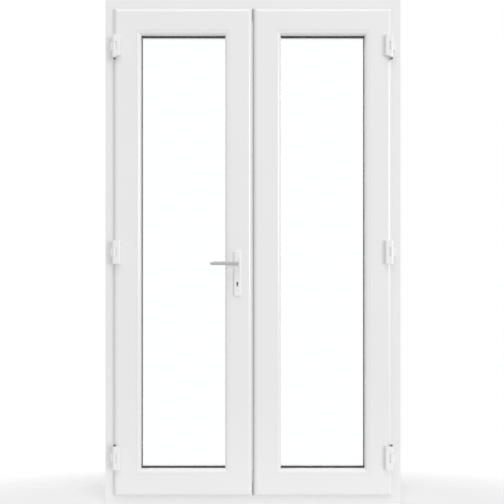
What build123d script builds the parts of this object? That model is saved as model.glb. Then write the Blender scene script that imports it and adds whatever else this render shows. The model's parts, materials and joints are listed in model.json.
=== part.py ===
from build123d import *
import math
import os

# French doors: two glazed leaves of hollow white extrusions that open towards the room,
# hung in a frame that goes round all four sides. Millimetres. X runs along the wall,
# Y from the room to the outside and Z up. The origin is the middle of the frame's
# underside, halfway through its depth. Left and right are as seen from the room.

# Frame: an L section whose outer lip the leaves close against
frame_width = 1200.0
frame_height = 2050.0
frame_depth = 70.0
frame_face = 45.0
lip_reach = 22.0
lip_thickness = 17.0

# Walls of the extrusions
outer_wall = 3.0
inner_web = 2.5
edge_round = 1.5

# Leaves: a Z section, with a flange over the frame's face and a rebate for the glass
leaf_depth = 70.0
leaf_overlap = 8.0
hardware_gap = 12.0
seal_gap = 3.0
flange_round = 16.0
leaf_sight = 91.0
bead_sight = 19.0
glass_flange = 17.0
meeting_gap = 6.0
meeting_overhang = 3.0
meeting_lead = 3.0

# Grooves in the edges of the leaves
groove_centre = -10.0
groove_width = 16.4
groove_depth = 3.0
channel_width = 12.6
channel_depth = 5.0

# Steel channels inside the extrusions
steel_thickness = 2.0
steel_clearance = 0.3
steel_end_gap = 6.0

# Sealed glass unit, counted from the room
pane_thickness = 4.0
cavity = 20.0
glass_edge_gap = 5.0
inner_gasket_thickness = 3.0
spacer_inset = 2.0
spacer_width = 6.0
block_length = 100.0
block_from_corner = 60.0

# Glazing bead
bead_set_back = 1.0
bead_round = 15.0
bead_nose = 3.0
bead_nib = 1.5
bead_nib_height = 3.0
snap_clearance = 0.3

# Seals
seal_width = 4.0
seal_root = 2.5
running_gap = 0.3
meeting_seal_gap = 1.1
meeting_seal_root = 1.5

# Hinges: a pin in a frame knuckle, between the two knuckles of a leaf part
hinge_length = 94.0
hinge_end_distance = 149.0
pin_inset = 5.0
pin_forward = 9.0
pin_radius = 4.0
pin_clearance = 0.05
knuckle_radius = 8.5
frame_knuckle_length = 34.0
knuckle_gap = 0.3
hinge_plate_reach = 25.0
hinge_slant = 12.0
hinge_plate_round = 5.0
stud_radius = 3.0
stud_length = 30.0
stud_spacing = 16.0
stud_clearance = 0.1
cap_radius = 4.5
cap_height = 6.0

# Handles and key, on the lock stile of the left leaf
spindle_from_edge = 60.0
spindle_height = 979.0
spindle_side = 8.0
key_below_spindle = 79.0
keyhole_radius = 4.25
keyhole_drop = 14.0
keyhole_foot = 3.6
plate_width = 30.0
plate_height = 184.0
plate_thickness = 8.0
plate_above_spindle = 51.0
plate_corner = 8.0
plate_edge = 5.0
lever_reach = 107.0
lever_heel = 7.5
lever_height = 14.0
lever_tip_height = 12.0
lever_thickness = 15.0
lever_stand_off = 29.0
lever_edge = 2.5
neck_radius = 7.0
neck_clearance = 0.1

# Lock: a pinion on the spindle drives two racks, and each rack carries a rod
gear_module = 2.0
pinion_teeth = 12
pressure_angle = 25.0
tooth_addendum = 0.8
tooth_dedendum = 1.0
tooth_play = 0.1
gear_thickness = 7.0
hub_radius = 7.0
hub_clearance = 0.1
lever_turn = 90.0
case_depth = 74.0
case_above = 36.0
case_below = 112.0
case_thickness = 16.0
case_wall = 1.5
faceplate_thickness = 2.5
faceplate_width = 16.0
faceplate_recess = 0.5
rod_width = 12.0
rod_play = 0.3
rack_back = 4.0
arm_height = 8.0
bolt_throw = 20.0
bolt_height = 24.0
bolt_thickness = 7.5
bolt_head = 24.0
bolt_tail = 66.0
bolt_tail_height = 9.0
bolt_below_key = 5.0
working_gap = 0.4

# Flush bolts of the right leaf, and the plates that bolts and rods run into
flush_bolt_length = 240.0
flush_bolt_throw = 20.0
thumb_height = 26.0
thumb_reach = 4.0
keep_thickness = 3.0
keep_length = 56.0
keep_width = 22.0
strike_height = 90.0
end_setback = 0.5

# Screws
screw_radius = 1.8
screw_head = 3.6
screw_countersink = 2.0
screw_length = 14.0
faceplate_screw_inset = 70.0
faceplate_screw_from_case = 140.0
faceplate_screw_count = 3
keep_screw_x = 21.0
plate_screw_radius = 2.5
plate_screw_head = 4.5
plate_screw_from_end = 10.0
plate_screw_grip = 5.0

# Fixing holes through the jambs, and drain slots through the sill
fixing_radius = 4.0
fixing_heights = (330.0, 830.0, 1220.0, 1720.0)
drain_width = 28.0
drain_height = 5.0
drain_positions = (-450.0, 0.0, 450.0)
drain_cap_width = 38.0
drain_cap_height = 14.0
drain_cap_thickness = 4.0

# Planes across the depth, worked out from the sizes above
room_face = -frame_depth / 2
outer_face = frame_depth / 2
lip_face = outer_face - lip_thickness
leaf_back = lip_face - seal_gap
leaf_front = leaf_back - leaf_depth
flange_back = room_face - seal_gap
glass_rear = leaf_back - glass_flange
glass_inner_face = glass_rear - inner_gasket_thickness - 2 * pane_thickness - cavity
glass_outer_face = glass_inner_face + 2 * pane_thickness + cavity
bead_back = glass_inner_face - inner_gasket_thickness

# Places along the wall and up it
overhang = leaf_overlap + hardware_gap
leaf_margin = frame_face - leaf_overlap
leaf_side = frame_width / 2 - leaf_margin
sight = leaf_sight + bead_sight
glass_edge = leaf_sight + glass_edge_gap
pin_x = leaf_side - pin_inset
pin_y = leaf_front - pin_forward
body_edge = meeting_gap / 2 + meeting_overhang
spindle_x = -meeting_gap / 2 - spindle_from_edge
key_height = spindle_height - key_below_spindle
pitch_radius = gear_module * pinion_teeth / 2
rod_travel = pitch_radius * math.radians(lever_turn)
body_low = leaf_margin + overhang
body_high = frame_height - body_low

frame_rect = (-frame_width / 2, frame_width / 2, 0.0, frame_height)
left_rect = (-leaf_side, -meeting_gap / 2, leaf_margin, frame_height - leaf_margin)
right_rect = (meeting_gap / 2, leaf_side, leaf_margin, frame_height - leaf_margin)
hinge_bases = (
    hinge_end_distance,
    frame_height / 2 - hinge_length / 2,
    frame_height - hinge_end_distance - hinge_length,
)
hinge_ends = ("upper", None, "lower")

LARGE = 200.0
parts = {}


def block(x, y, z):
    """A box between two corners, given as three (low, high) pairs."""
    spans = (x, y, z)
    middle = [(low + high) / 2 for low, high in spans]
    return Pos(*middle) * Box(*[high - low for low, high in spans])


def rod_y(x, z, radius, y):
    """A cylinder along Y."""
    return Pos(x, (y[0] + y[1]) / 2, z) * Rot(90, 0, 0) * Cylinder(radius, y[1] - y[0])


def rod_x(y, z, radius, x):
    """A cylinder along X."""
    return Pos((x[0] + x[1]) / 2, y, z) * Rot(0, 90, 0) * Cylinder(radius, x[1] - x[0])


def rod_z(x, y, radius, z):
    """A cylinder along Z."""
    return Pos(x, y, (z[0] + z[1]) / 2) * Cylinder(radius, z[1] - z[0])


def outline(*corners):
    """A flat face with a corner at each (x, y), rounded where a radius follows."""
    face = make_face(Polyline(*[c[:2] for c in corners], close=True))
    for corner in corners:
        if len(corner) == 3:
            face = fillet(face.vertices().sort_by_distance((corner[0], corner[1], 0))[0], corner[2])
    return face


def rectangle(x, y):
    """A flat rectangle between two (low, high) pairs."""
    return Polygon((x[0], y[0]), (x[1], y[0]), (x[1], y[1]), (x[0], y[1]), align=None)


def side_plane(rect, side):
    """The plane at the start of one side of a rectangle, and the side's length. Local X
    runs in from the edge, local Y is the depth, and the side runs along local Z."""
    left, right, low, high = rect
    starts = {
        "left": ((left, 0, low), (1, 0, 0), high - low),
        "right": ((right, 0, high), (-1, 0, 0), high - low),
        "bottom": ((right, 0, low), (0, 0, 1), right - left),
        "top": ((left, 0, high), (0, 0, -1), right - left),
    }
    start, inward, length = starts[side]
    along = Vector(*inward).cross(Vector(0, 1, 0))
    return Plane(start, x_dir=inward, z_dir=along), length


def mitred(rect, side, section, reach):
    """A length of extrusion along one side of a rectangle, mitred at both ends."""
    plane, length = side_plane(rect, side)
    ends = Polygon((0, 0), (reach, reach), (reach, length - reach), (0, length), align=None)
    bar = extrude(section, length) & extrude(Plane.XZ * ends, LARGE, both=True)
    return plane * bar


def square_cut(rect, side, section, setback):
    """A length of section along one side of a rectangle, cut square short of the corners."""
    plane, length = side_plane(rect, side)
    return plane * Pos(0, 0, setback) * extrude(section, length - 2 * setback)


def ring(rect, inset, y):
    """A flat rectangular ring between two insets from a rectangle."""
    left, right, low, high = rect
    near, far = inset
    outside = block((left + near, right - near), y, (low + near, high - near))
    inside = block((left + far, right - far), (y[0] - 1, y[1] + 1), (low + far, high - far))
    return outside - inside


def both_sides(shape):
    """The mirror image of a piece, on the other side of the middle."""
    return mirror(shape, Plane.YZ)


# Sections of the extrusions


def frame_section():
    """The L section of the frame, with its chambers."""
    tip = frame_face + lip_reach
    outside = outline(
        (0, room_face),
        (frame_face, room_face, edge_round),
        (frame_face, lip_face),
        (tip, lip_face, edge_round),
        (tip, outer_face, edge_round),
        (0, outer_face),
    )
    inner = (outer_wall, frame_face - outer_wall)
    room_chamber = rectangle(inner, (room_face + outer_wall, steel_low() - inner_web))
    steel_chamber = rectangle(inner, (steel_low(), steel_high()))
    outer_chamber = rectangle(inner, (steel_high() + inner_web, outer_face - outer_wall))
    lip_chamber = rectangle(
        (frame_face, tip - outer_wall), (lip_face + outer_wall, outer_face - outer_wall)
    )
    return outside - room_chamber - steel_chamber - outer_chamber - lip_chamber


def steel_low():
    """The room side of the frame's steel chamber, a quarter of the depth in."""
    return room_face + frame_depth / 4


def steel_high():
    """The outer side of the frame's steel chamber."""
    return outer_face - frame_depth / 4 - lip_thickness / 2


def frame_steel_section():
    """A steel channel that fits its chamber and is open to the wall."""
    u = (outer_wall + steel_clearance, frame_face - outer_wall - steel_clearance)
    v = (steel_low() + steel_clearance, steel_high() - steel_clearance)
    hollow = rectangle(
        (u[0], u[1] - steel_thickness), (v[0] + steel_thickness, v[1] - steel_thickness)
    )
    return rectangle(u, v) - hollow


def centred(width):
    """A (low, high) pair about the middle of the hardware groove."""
    return groove_centre - width / 2, groove_centre + width / 2


def chamber_start(meeting):
    """How far in from the flange's edge a leaf's main chambers start."""
    if meeting:
        return meeting_overhang + groove_depth + channel_depth + outer_wall
    return overhang + groove_depth + outer_wall


def leaf_steel_sides():
    """The room side and outer side of a leaf's steel chamber."""
    return flange_back, groove_centre + inner_web


def leaf_section(meeting):
    """The Z section of a leaf, with a bolt channel in its edge if it is a meeting stile."""
    step = meeting_overhang if meeting else overhang
    low, high = centred(groove_width)
    channel_low, channel_high = centred(channel_width)
    lead = meeting_lead if meeting else 0
    floor = step + groove_depth
    nib_low = bead_back - bead_nib_height - bead_nose
    nib_high = bead_back - bead_nose
    nib_floor = leaf_sight - bead_nib - snap_clearance
    channel = ()
    if meeting:
        channel = (
            (floor, channel_high),
            (floor + channel_depth, channel_high),
            (floor + channel_depth, channel_low),
            (floor, channel_low),
        )
    bevel = glass_flange / 3
    outside = outline(
        (0, flange_back, edge_round / 2),
        (0, leaf_front, flange_round),
        (leaf_sight, leaf_front, edge_round / 2),
        (leaf_sight, nib_low - snap_clearance),
        (nib_floor, nib_low - snap_clearance),
        (nib_floor, nib_high + snap_clearance),
        (leaf_sight, nib_high + snap_clearance),
        (leaf_sight, glass_rear),
        (sight, glass_rear, edge_round / 2),
        (sight, leaf_back - bevel, edge_round),
        (sight - bevel, leaf_back, edge_round),
        (step + lead, leaf_back, edge_round),
        (step, high),
        (floor, high),
        *channel,
        (floor, low),
        (step, low),
        (step, flange_back),
    )
    start = chamber_start(meeting)
    end = leaf_sight - outer_wall
    front = leaf_front + outer_wall
    front_back = flange_back - outer_wall
    corner = flange_round * 0.6
    web = (start + end) / 2 if meeting else start - outer_wall
    steel_front, steel_back = leaf_steel_sides()
    chambers = (
        rectangle((corner, web - inner_web / 2), (front + 1, front_back)),
        rectangle((web + inner_web / 2, end), (front, front_back)),
        rectangle((start, end), (steel_front, steel_back)),
        rectangle((start, end), (steel_back + inner_web, leaf_back - outer_wall)),
        rectangle(
            (leaf_sight + outer_wall - 1, sight - bevel), (glass_rear + outer_wall, leaf_back - outer_wall)
        ),
    )
    for chamber in chambers:
        outside -= chamber
    return outside


def leaf_steel_section(meeting):
    """A steel channel that fits a leaf's main chamber and is open to the glass."""
    u = (chamber_start(meeting) + steel_clearance, leaf_sight - outer_wall - steel_clearance)
    steel_front, steel_back = leaf_steel_sides()
    v = (steel_front + steel_clearance, steel_back - steel_clearance)
    hollow = rectangle(
        (u[0] + steel_thickness, u[1]), (v[0] + steel_thickness, v[1] - steel_thickness)
    )
    return rectangle(u, v) - hollow


def bead_section():
    """The glazing bead: a rounded face, with a nib that snaps into the leaf."""
    front = leaf_front + bead_set_back
    nib_high = bead_back - bead_nose
    nib_low = nib_high - bead_nib_height
    return outline(
        (leaf_sight, front, edge_round / 2),
        (sight, front, bead_round),
        (sight, bead_back),
        (leaf_sight, bead_back),
        (leaf_sight, nib_high),
        (leaf_sight - bead_nib, nib_high),
        (leaf_sight - bead_nib, nib_low),
        (leaf_sight, nib_low),
    )


def seal_section(start, root, tip):
    """A seal with a flat root and a rounded tip, along one edge of a section."""
    tip_half = seal_root / 2
    middle = start + seal_width / 2
    return outline(
        (start, root),
        (start + seal_width, root),
        (middle + tip_half, tip, tip_half * 0.6),
        (middle - tip_half, tip, tip_half * 0.6),
    )


# Cutters for the lock and the moving bolts


def depth_x(side, depth):
    """The X of a depth into a meeting stile's edge. Side is -1 for the left leaf."""
    return side * (body_edge + depth)


def edge_block(side, depth, y, z):
    """A box cut into, or set in, the edge of a meeting stile."""
    ends = sorted(depth_x(side, d) for d in depth)
    return block(ends, y, z)


def spread(low, high):
    """The heights of the faceplate's screws between two ends, evenly apart."""
    step = (high - low) / (faceplate_screw_count - 1)
    return [low + step * k for k in range(faceplate_screw_count)]


rod_depth = (groove_depth + rod_play, groove_depth + channel_depth - rod_play)
face_depth = (faceplate_recess, faceplate_recess + faceplate_thickness)
case_front = groove_depth + channel_depth + working_gap
case_z = (spindle_height - case_below, spindle_height + case_above)
faceplate_screws = (
    *spread(body_low + faceplate_screw_inset, case_z[0] - faceplate_screw_from_case),
    *spread(case_z[1] + faceplate_screw_from_case, body_high - faceplate_screw_inset),
)
bolt_low = key_height - bolt_below_key
bolt_z = (bolt_low, bolt_low + bolt_height)
bolt_y = (groove_centre - bolt_thickness / 2 + 2, groove_centre + bolt_thickness / 2 + 2)


def keyhole(y, play=0.0):
    """A keyhole through everything between two planes."""
    head = rod_y(spindle_x, key_height, keyhole_radius + play, y)
    half = keyhole_foot / 2 + play
    shoulder = keyhole_radius * 0.8 + play
    foot = Polygon(
        (spindle_x - half, key_height - keyhole_drop - play),
        (spindle_x + half, key_height - keyhole_drop - play),
        (spindle_x + shoulder, key_height),
        (spindle_x - shoulder, key_height),
        align=None,
    )
    slot = Pos(0, y[1], 0) * extrude(Plane.XZ * foot, y[1] - y[0])
    return head + slot


def lock_pocket():
    """What is cut from the lock stile and its steel to let the lock in."""
    case = edge_block(
        -1,
        (-1, case_front + case_depth + working_gap),
        centred(case_thickness + working_gap),
        (case_z[0] - working_gap, case_z[1] + working_gap),
    )
    hub = rod_y(spindle_x, spindle_height, hub_radius + 3, (leaf_front - 1, leaf_back + 1))
    key_z = key_height - keyhole_drop / 3
    key = rod_y(spindle_x, key_z, keyhole_drop, (leaf_front - 1, groove_centre))
    return case + hub + key


def rod_slots(top):
    """The slots that the rod and the flush bolt run into, at the head or at the sill."""
    z = (frame_height - frame_face - 9, frame_height - frame_face + rod_travel)
    if not top:
        z = (frame_face - rod_travel, frame_face + 9)
    play = working_gap + 0.2
    depth = (rod_depth[0] - play, rod_depth[1] + play)
    slots = [edge_block(side, depth, centred(rod_width + 2 * play), z) for side in (-1, 1)]
    return slots[0] + slots[1]


def stud_heights():
    """The heights of all the hinge studs in a jamb."""
    middles = [base + hinge_length / 2 for base in hinge_bases]
    return [m + k * stud_spacing / 2 for m in middles for k in (-1, 1)]


stud_x = pin_x + knuckle_radius + pin_inset / 2


def jamb_holes(side):
    """The fixing holes and the stud holes of one jamb."""
    holes = []
    for z in fixing_heights:
        reach = sorted((side * (frame_width / 2 + 1), side * (frame_width / 2 - frame_face - 1)))
        holes.append(rod_x(0, z, fixing_radius, reach))
    for z in stud_heights():
        y = (room_face - 1, room_face + stud_length + 1)
        holes.append(rod_y(side * stud_x, z, stud_radius + stud_clearance, y))
    return holes


def cut(shape, tools):
    """A shape less each of several tools."""
    for tool in tools:
        shape -= tool
    return shape


# Frame


def make_frame():
    """The four mitred members, their steels, the seal and the drain caps."""
    section = frame_section()
    steel = frame_steel_section()
    reach = frame_face + lip_reach
    members = {side: mitred(frame_rect, side, section, reach) for side in ("left", "right", "top", "bottom")}
    steels = {
        side: square_cut(frame_rect, side, steel, frame_face + steel_end_gap)
        for side in ("left", "right", "top", "bottom")
    }
    for side, sign in (("left", -1), ("right", 1)):
        members[side] = cut(members[side], jamb_holes(sign))
        steels[side] = cut(steels[side], jamb_holes(sign))
    for side in ("top", "bottom"):
        slots = rod_slots(side == "top")
        members[side] = members[side] - slots
        steels[side] = steels[side] - slots
    caps = []
    for x in drain_positions:
        span = (x - drain_width / 2, x + drain_width / 2)
        low = frame_face - drain_height - outer_wall
        inlet = block(span, (lip_face - drain_height, lip_face), (low, frame_face + 1))
        outlet = block(span, (lip_face - drain_height, outer_face + 1), (low, low + drain_height))
        members["bottom"] = members["bottom"] - inlet - outlet
        caps.append(drain_cap(x, low + drain_height / 2))
    parts["frame_left_jamb"] = members["left"]
    parts["frame_right_jamb"] = members["right"]
    parts["frame_head"] = members["top"]
    parts["frame_sill"] = members["bottom"]
    parts["frame_reinforcements"] = list(steels.values())
    parts["drain_caps"] = caps
    start = frame_face + lip_reach - seal_width - 2
    lip_seal = seal_section(start, lip_face, leaf_back + running_gap)
    reach = start + seal_width
    pieces = [mitred(frame_rect, side, lip_seal, reach) for side in ("left", "right", "top", "bottom")]
    parts["frame_seal"] = pieces[0] + pieces[1] + pieces[2] + pieces[3]


def drain_cap(x, z):
    """A hood over a drain slot, open below."""
    y = (outer_face, outer_face + drain_cap_thickness)
    shell = block(
        (x - drain_cap_width / 2, x + drain_cap_width / 2),
        y,
        (z - drain_cap_height / 2, z + drain_cap_height / 2),
    )
    front = shell.edges().filter_by(Axis.X).group_by(Axis.Y)[-1]
    shell = fillet(front.sort_by(Axis.Z)[-1], drain_cap_thickness / 2)
    hollow = block(
        (x - drain_width / 2, x + drain_width / 2),
        (y[0] - 1, y[1] - edge_round),
        (z - drain_cap_height / 2 - 1, z + drain_height / 2),
    )
    return shell - hollow


# Leaves


def trim_corner(rect, meeting_side):
    """What is cut from a meeting stile's ends, so that its body stops level with the rails."""
    left, right, low, high = rect
    edge = right if meeting_side == "right" else left
    inward = -1 if meeting_side == "right" else 1
    x = sorted((edge - inward, edge + inward * overhang))
    y = (flange_back, leaf_back + 1)
    return [
        block(x, y, (low - 1, low + overhang)),
        block(x, y, (high - overhang, high + 1)),
    ]


def make_leaf(name, rect, meeting_side):
    """One leaf's members, steels, beads, glass unit, gaskets and seal."""
    hinge_side = "left" if meeting_side == "right" else "right"
    reach = sight
    stile = mitred(rect, meeting_side, leaf_section(True), reach)
    plain = leaf_section(False)
    members = {side: mitred(rect, side, plain, reach) for side in (hinge_side, "top", "bottom")}
    members[meeting_side] = cut(stile, trim_corner(rect, meeting_side))
    steels = {
        side: square_cut(rect, side, leaf_steel_section(side == meeting_side), leaf_sight + steel_end_gap)
        for side in ("left", "right", "top", "bottom")
    }
    if name == "active":
        pocket = lock_pocket()
        members[meeting_side] = members[meeting_side] - pocket
        steels[meeting_side] = steels[meeting_side] - pocket
    parts[f"{name}_hinge_stile"] = members[hinge_side]
    parts[f"{name}_meeting_stile"] = members[meeting_side]
    parts[f"{name}_top_rail"] = members["top"]
    parts[f"{name}_bottom_rail"] = members["bottom"]
    parts[f"{name}_reinforcements"] = list(steels.values())

    bead = bead_section()
    sides = ("left", "right", "top", "bottom")
    parts[f"{name}_glazing_beads"] = [mitred(rect, side, bead, sight) for side in sides]
    make_glass(name, rect)

    start = leaf_overlap - seal_width - 1.5
    section = seal_section(start, flange_back, room_face - running_gap)
    sides = (hinge_side, "top", "bottom")
    strips = [mitred(rect, side, section, start + seal_width) for side in sides]
    parts[f"{name}_flange_seal"] = strips[0] + strips[1] + strips[2]


def make_glass(name, rect):
    """The sealed unit, its gaskets and its setting blocks."""
    left, right, low, high = rect
    x = (left + glass_edge, right - glass_edge)
    z = (low + glass_edge, high - glass_edge)
    inner = (glass_inner_face, glass_inner_face + pane_thickness)
    outer = (glass_outer_face - pane_thickness, glass_outer_face)
    parts[f"{name}_inner_pane"] = block(x, inner, z)
    parts[f"{name}_outer_pane"] = block(x, outer, z)
    near = glass_edge + spacer_inset
    parts[f"{name}_spacer"] = ring(rect, (near, near + spacer_width), (inner[1], outer[0]))
    gasket = (glass_edge + spacer_inset, sight)
    parts[f"{name}_outer_gasket"] = ring(rect, gasket, (glass_outer_face, glass_rear))
    gasket = (glass_edge + spacer_inset, sight - edge_round / 2)
    parts[f"{name}_inner_gasket"] = ring(rect, gasket, (bead_back, glass_inner_face))
    blocks = []
    for start in (x[0] + block_from_corner, x[1] - block_from_corner - block_length):
        for floor in (low + leaf_sight, high - leaf_sight - glass_edge_gap):
            span = (floor, floor + glass_edge_gap)
            blocks.append(block((start, start + block_length), (glass_inner_face, glass_outer_face), span))
    parts[f"{name}_setting_blocks"] = blocks


def make_meeting_seal():
    """The soft strip on the right leaf's edge that closes the gap between the leaves."""
    y = (flange_back - seal_width - edge_round, flange_back - edge_round)
    root = meeting_gap / 2 + meeting_seal_root
    strip = outline(
        (root, y[0]),
        (root, y[1]),
        (-meeting_gap / 2 + meeting_seal_gap, y[1] - 0.8, 1.2),
        (-meeting_gap / 2 + meeting_seal_gap, y[0] + 0.8, 1.2),
    )
    z = (right_rect[2] + edge_round, right_rect[3] - edge_round)
    seal = Pos(0, 0, z[0]) * extrude(strip, z[1] - z[0])
    parts["meeting_seal"] = seal
    parts["passive_meeting_stile"] = cut(parts["passive_meeting_stile"], [seal])


# Hinges, made for the right leaf and mirrored for the left one


def slant_cutter(base, end):
    """The wedge that gives a hinge its slanted end."""
    near = pin_x - hinge_plate_reach - 1
    far = pin_x + knuckle_radius + 1
    tip, inward = (base, 1) if end == "lower" else (base + hinge_length, -1)
    outside = tip - inward
    wedge = Polygon(
        (near, outside), (far, outside), (far, tip), (near, tip + inward * hinge_slant), align=None
    )
    return Pos(0, leaf_front + 1, 0) * extrude(Plane.XZ * wedge, LARGE)


def leaf_hinge_part(base, end):
    """The leaf's half of a hinge: a plate on the leaf's face with a knuckle at each end."""
    front = pin_y - knuckle_radius
    plate = outline(
        (pin_x - hinge_plate_reach, leaf_front),
        (pin_x - flange_round + pin_inset, leaf_front),
        (pin_x, pin_y),
        (pin_x, front),
        (pin_x - hinge_plate_reach, front, hinge_plate_round),
    )
    body = Pos(0, 0, base) * extrude(plate, hinge_length)
    body += rod_z(pin_x, pin_y, knuckle_radius, (base, base + hinge_length))
    middle = base + hinge_length / 2
    half = frame_knuckle_length / 2 + knuckle_gap
    z = (middle - half, middle + half)
    body -= block((pin_x - knuckle_radius - 0.5, pin_x + LARGE), (pin_y - LARGE, leaf_front + 1), z)
    if end:
        body -= slant_cutter(base, end)
    body -= rod_z(pin_x, pin_y, pin_radius + pin_clearance, (base - 1, base + hinge_length + 1))
    return body


def frame_hinge_part(base):
    """The frame's half: a knuckle on an arm, held by two studs in the jamb."""
    middle = base + hinge_length / 2
    z = (middle - frame_knuckle_length / 2, middle + frame_knuckle_length / 2)
    inner = leaf_side + 1
    outer = stud_x + stud_radius + 1.5
    arm = outline(
        (pin_x, pin_y),
        (pin_x + knuckle_radius * 0.88, pin_y - knuckle_radius * 0.47),
        (outer, pin_y, 3.0),
        (outer, room_face),
        (inner, room_face),
        (inner, pin_y + 6),
    )
    body = Pos(0, 0, z[0]) * extrude(arm, z[1] - z[0])
    body += rod_z(pin_x, pin_y, knuckle_radius, z)
    body -= rod_z(pin_x, pin_y, pin_radius, (z[0] - 1, z[1] + 1))
    for offset in (-stud_spacing / 2, stud_spacing / 2):
        body += rod_y(stud_x, middle + offset, stud_radius, (room_face - 1, room_face + stud_length))
    return body


def make_hinges():
    """Three hinges a side, with the pins and the dark caps on their open ends."""
    leaf_halves, frame_halves, pins, caps = [], [], [], []
    for base, end in zip(hinge_bases, hinge_ends):
        leaf_halves.append(leaf_hinge_part(base, end))
        frame_halves.append(frame_hinge_part(base))
        pins.append(rod_z(pin_x, pin_y, pin_radius, (base, base + hinge_length)))
        if end == "lower":
            caps.append(rod_z(pin_x, pin_y, cap_radius, (base - cap_height, base)))
        if end == "upper":
            top = base + hinge_length
            caps.append(rod_z(pin_x, pin_y, cap_radius, (top, top + cap_height)))
    parts["passive_hinge_leaf_parts"] = leaf_halves
    parts["active_hinge_leaf_parts"] = [both_sides(p) for p in leaf_halves]
    parts["hinge_frame_parts"] = frame_halves + [both_sides(p) for p in frame_halves]
    parts["hinge_pins"] = pins + [both_sides(p) for p in pins]
    parts["hinge_pin_caps"] = caps + [both_sides(p) for p in caps]


# Lock


def involute_point(base, radius, offset):
    """A point of an involute flank, at a radius, from where it leaves its base circle."""
    turn = math.sqrt(max((radius / base) ** 2 - 1, 0))
    angle = offset - (turn - math.atan(turn))
    return radius * math.cos(angle), radius * math.sin(angle)


def pinion_outline():
    """The pinion's teeth, as one closed face about the spindle. A tooth points along X."""
    pressure = math.radians(pressure_angle)
    base = pitch_radius * math.cos(pressure)
    root = pitch_radius - gear_module * tooth_dedendum
    tip = pitch_radius + gear_module * tooth_addendum
    half = (math.pi * gear_module / 4 - tooth_play) / pitch_radius
    offset = half + math.tan(pressure) - pressure
    steps = 4
    flank = [involute_point(base, base + (tip - base) * k / steps, offset) for k in range(steps + 1)]
    foot = (root * math.cos(offset), root * math.sin(offset))
    half_tooth = [foot, *flank]
    points = []
    for tooth in range(pinion_teeth):
        turn = 2 * math.pi * tooth / pinion_teeth
        tooth_points = [(x, -y) for x, y in half_tooth] + half_tooth[::-1]
        for x, y in tooth_points:
            points.append((
                x * math.cos(turn) - y * math.sin(turn),
                x * math.sin(turn) + y * math.cos(turn),
            ))
    return make_face(Polyline(*points, close=True))


def rack_outline(first, last):
    """A rack's teeth and back, with the pitch line on X = 0 and the teeth towards -X. Its
    teeth are counted in half pitches from the spindle's height."""
    pitch = math.pi * gear_module
    slope = math.tan(math.radians(pressure_angle))
    add = gear_module * tooth_addendum
    ded = gear_module * tooth_dedendum
    half = pitch / 4 - tooth_play
    back = ded + rack_back
    points = [(back, first * pitch / 2 - pitch / 2), (ded, first * pitch / 2 - pitch / 2)]
    for k in range(first, last + 1, 2):
        middle = k * pitch / 2
        points += [
            (ded, middle - half - ded * slope),
            (-add, middle - half + add * slope),
            (-add, middle + half - add * slope),
            (ded, middle + half + ded * slope),
        ]
    points += [(ded, last * pitch / 2 + pitch / 2), (back, last * pitch / 2 + pitch / 2)]
    return make_face(Polyline(*points, close=True))


gear_y = centred(gear_thickness)
arm_front = body_edge + rod_depth[1]


def rack_bar(side, first, last):
    """A rack beside the pinion, on the side given by a sign along X."""
    profile = rack_outline(first, last)
    if side < 0:
        profile = mirror(profile, Plane.YZ)
    solid = extrude(Plane.XZ * profile, gear_thickness)
    return Pos(spindle_x + side * pitch_radius, gear_y[1], spindle_height) * solid


def lower_arm():
    """The top and the underside of the lower rod's arm, which clears the upper rod's rack."""
    high = spindle_height - 5 * math.pi * gear_module - working_gap
    return high, high - arm_height


def slotted(rod, side, heights, before, after):
    """A rod with a slot for each screw that goes through it."""
    half = screw_radius + 2 * working_gap
    for z in heights:
        slot = (z - before - half, z + after + half)
        rod -= edge_block(side, (rod_depth[0] - 1, rod_depth[1] + 1), centred(2 * half), slot)
    return rod


def edge_screw(side, z):
    """A countersunk screw that goes into a meeting stile's edge."""
    x = depth_x(side, face_depth[0])
    shank = rod_x(groove_centre, z, screw_radius, sorted((x, depth_x(side, screw_length))))
    head = extrude(Circle(screw_head), screw_countersink, taper=42)
    return shank + Pos(x, groove_centre, z) * Rot(0, side * 90, 0) * head


def make_rods():
    """The two rods, each with its rack and the arm that joins them."""
    pitch = math.pi * gear_module
    back = gear_module * tooth_dedendum + rack_back

    rack = rack_bar(1, -9, 3)
    high = spindle_height + 2 * pitch
    low = high - arm_height
    arm_x = (spindle_x + pitch_radius + back - rack_back, -arm_front)
    upper = rack + block(arm_x, gear_y, (low, high))
    upper += edge_block(-1, rod_depth, centred(rod_width), (low, body_high - end_setback))
    heights = [z for z in faceplate_screws if z > spindle_height]
    parts["upper_drive_rod"] = slotted(upper, -1, heights, rod_travel, 0)

    rack = rack_bar(-1, -3, 9)
    high, low = lower_arm()
    far = spindle_x - pitch_radius - back
    lower = rack + block((far, far + rack_back), gear_y, (low, spindle_height))
    lower += block((far, -arm_front), gear_y, (low, high))
    lower += edge_block(-1, rod_depth, centred(rod_width), (body_low + end_setback, high))
    past_bolt = (bolt_y[0] - working_gap, centred(rod_width)[1] + 1)
    window = (bolt_z[0] - working_gap, bolt_z[1] + rod_travel + working_gap)
    lower -= edge_block(-1, (rod_depth[0] - 1, rod_depth[1] + 1), past_bolt, window)
    heights = [z for z in faceplate_screws if z < spindle_height]
    parts["lower_drive_rod"] = slotted(lower, -1, heights, 0, rod_travel)


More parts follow.
